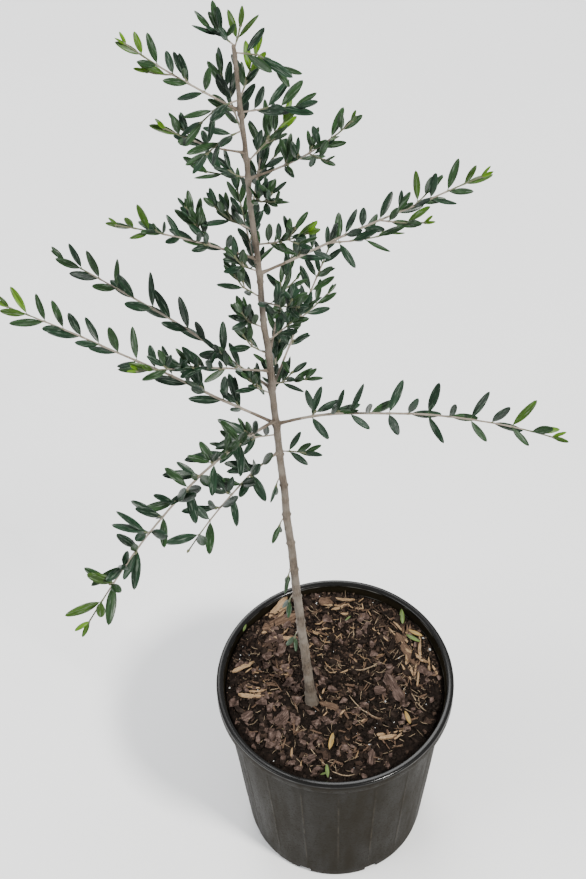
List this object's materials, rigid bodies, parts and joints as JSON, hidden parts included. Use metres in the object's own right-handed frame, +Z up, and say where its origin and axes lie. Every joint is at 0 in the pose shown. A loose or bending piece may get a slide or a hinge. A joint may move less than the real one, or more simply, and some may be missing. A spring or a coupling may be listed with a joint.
{
  "type": "potted olive tree",
  "caption": "Young olive tree with a slim leaning trunk and long leafy boughs, in a round tapering nursery pot filled with bark mix.",
  "frame": {"origin": "middle of the pot's flat underside, where it stands on the floor", "axes": "+Z up; -Y towards the side the picture was taken from; +X to the right as seen from there"},
  "size_m": [0.541, 0.4358, 1.4029],
  "materials": {
    "pot_plastic": "black plastic with a soft sheen",
    "bark_mix": "loose, rough and dull",
    "olive_bark": "young grey-brown bark, dull",
    "olive_leaf": "dark green, softly glossy above"
  },
  "bodies": {
    "root": {"bough_back_right": "olive_bark", "bough_back_upright": "olive_bark", "bough_front_left_long": "olive_bark", "bough_front_left_short": "olive_bark", "bough_left_high": "olive_bark", "bough_left_level": "olive_bark", "bough_left_long": "olive_bark", "bough_left_middle": "olive_bark", "bough_left_top": "olive_bark", "bough_left_upper": "olive_bark", "bough_right_high": "olive_bark", "bough_right_long": "olive_bark", "bough_right_top": "olive_bark", "foliage_back_right": "olive_leaf", "foliage_back_upright": "olive_leaf", "foliage_front_left_long": "olive_leaf", "foliage_front_left_short": "olive_leaf", "foliage_leader": "olive_leaf", "foliage_left_high": "olive_leaf", "foliage_left_level": "olive_leaf", "foliage_left_long": "olive_leaf", "foliage_left_middle": "olive_leaf", "foliage_left_top": "olive_leaf", "foliage_left_upper": "olive_leaf", "foliage_right_high": "olive_leaf", "foliage_right_long": "olive_leaf", "foliage_right_top": "olive_leaf", "foliage_shoot_01": "olive_leaf", "foliage_shoot_02": "olive_leaf", "foliage_shoot_03": "olive_leaf", "foliage_shoot_04": "olive_leaf", "foliage_shoot_05": "olive_leaf", "foliage_shoot_06": "olive_leaf", "foliage_shoot_07": "olive_leaf", "foliage_shoot_08": "olive_leaf", "foliage_shoot_09": "olive_leaf", "foliage_shoot_10": "olive_leaf", "foliage_shoot_11": "olive_leaf", "foliage_shoot_12": "olive_leaf", "foliage_shoot_13": "olive_leaf", "foliage_shoot_14": "olive_leaf", "foliage_shoot_15": "olive_leaf", "foliage_shoot_16": "olive_leaf", "foliage_shoot_17": "olive_leaf", "foliage_shoot_18": "olive_leaf", "foliage_shoot_19": "olive_leaf", "foliage_shoot_20": "olive_leaf", "foliage_shoot_21": "olive_leaf", "foliage_shoot_22": "olive_leaf", "foliage_shoot_23": "olive_leaf", "foliage_shoot_24": "olive_leaf", "foliage_shoot_25": "olive_leaf", "foliage_shoot_26": "olive_leaf", "foliage_shoot_27": "olive_leaf", "foliage_shoot_28": "olive_leaf", "foliage_shoot_29": "olive_leaf", "foliage_shoot_30": "olive_leaf", "pot": "pot_plastic", "soil": "bark_mix", "trunk": "olive_bark"}
  },
  "joints": []
}
